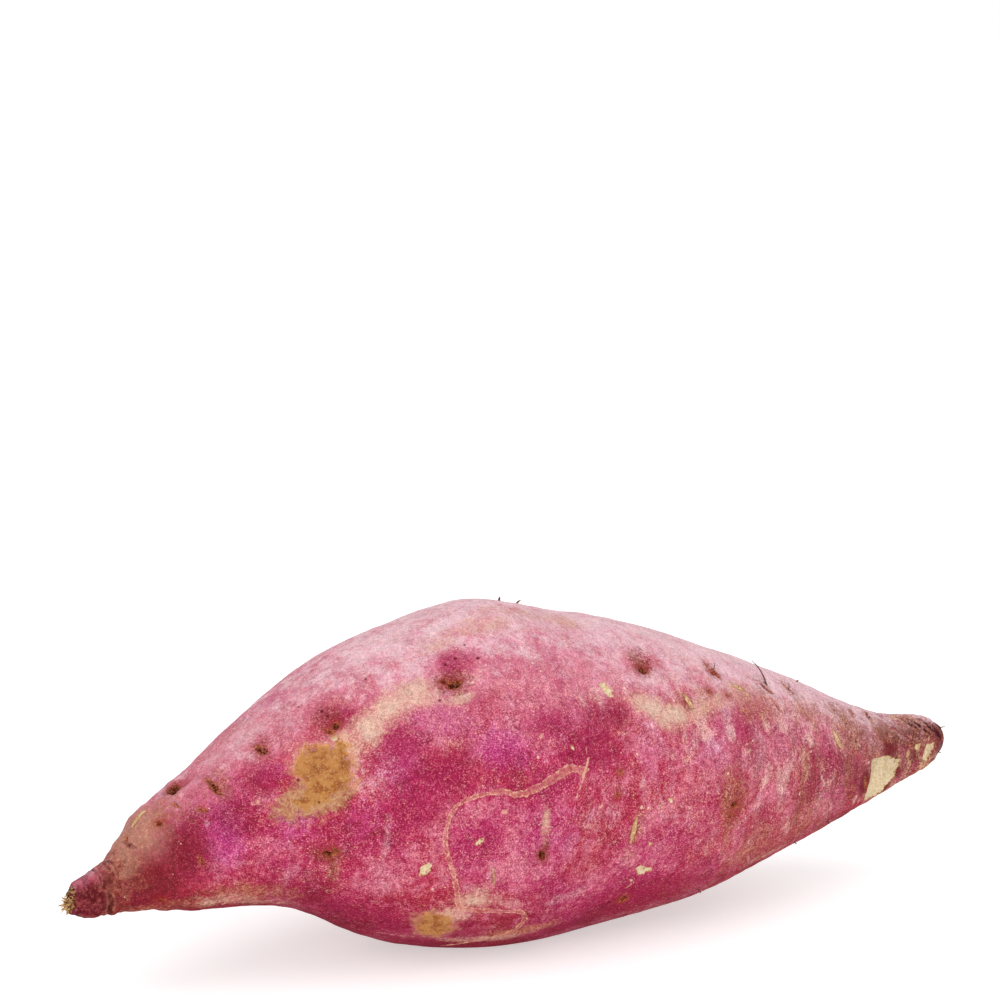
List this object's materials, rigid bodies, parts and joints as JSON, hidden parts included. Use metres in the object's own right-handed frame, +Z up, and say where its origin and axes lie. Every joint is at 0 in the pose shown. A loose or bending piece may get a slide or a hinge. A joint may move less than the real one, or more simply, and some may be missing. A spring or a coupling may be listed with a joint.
{
  "type": "sweet potato",
  "caption": "Whole raw sweet potato root with a swollen middle, a torn stem neck at one end and a tapering root tip, lying on its belly.",
  "frame": {"origin": "on the table, under the middle of the root's bounding box", "axes": "+X along the root from the torn stem end to the root tip, +Y to the root's back, +Z up"},
  "size_m": [0.2044, 0.0722, 0.0711],
  "materials": {
    "skin": "matt to slightly waxy raw root skin, magenta-pink with dusty pale scuffs"
  },
  "bodies": {
    "root": {"sweet_potato": "skin"}
  },
  "joints": []
}
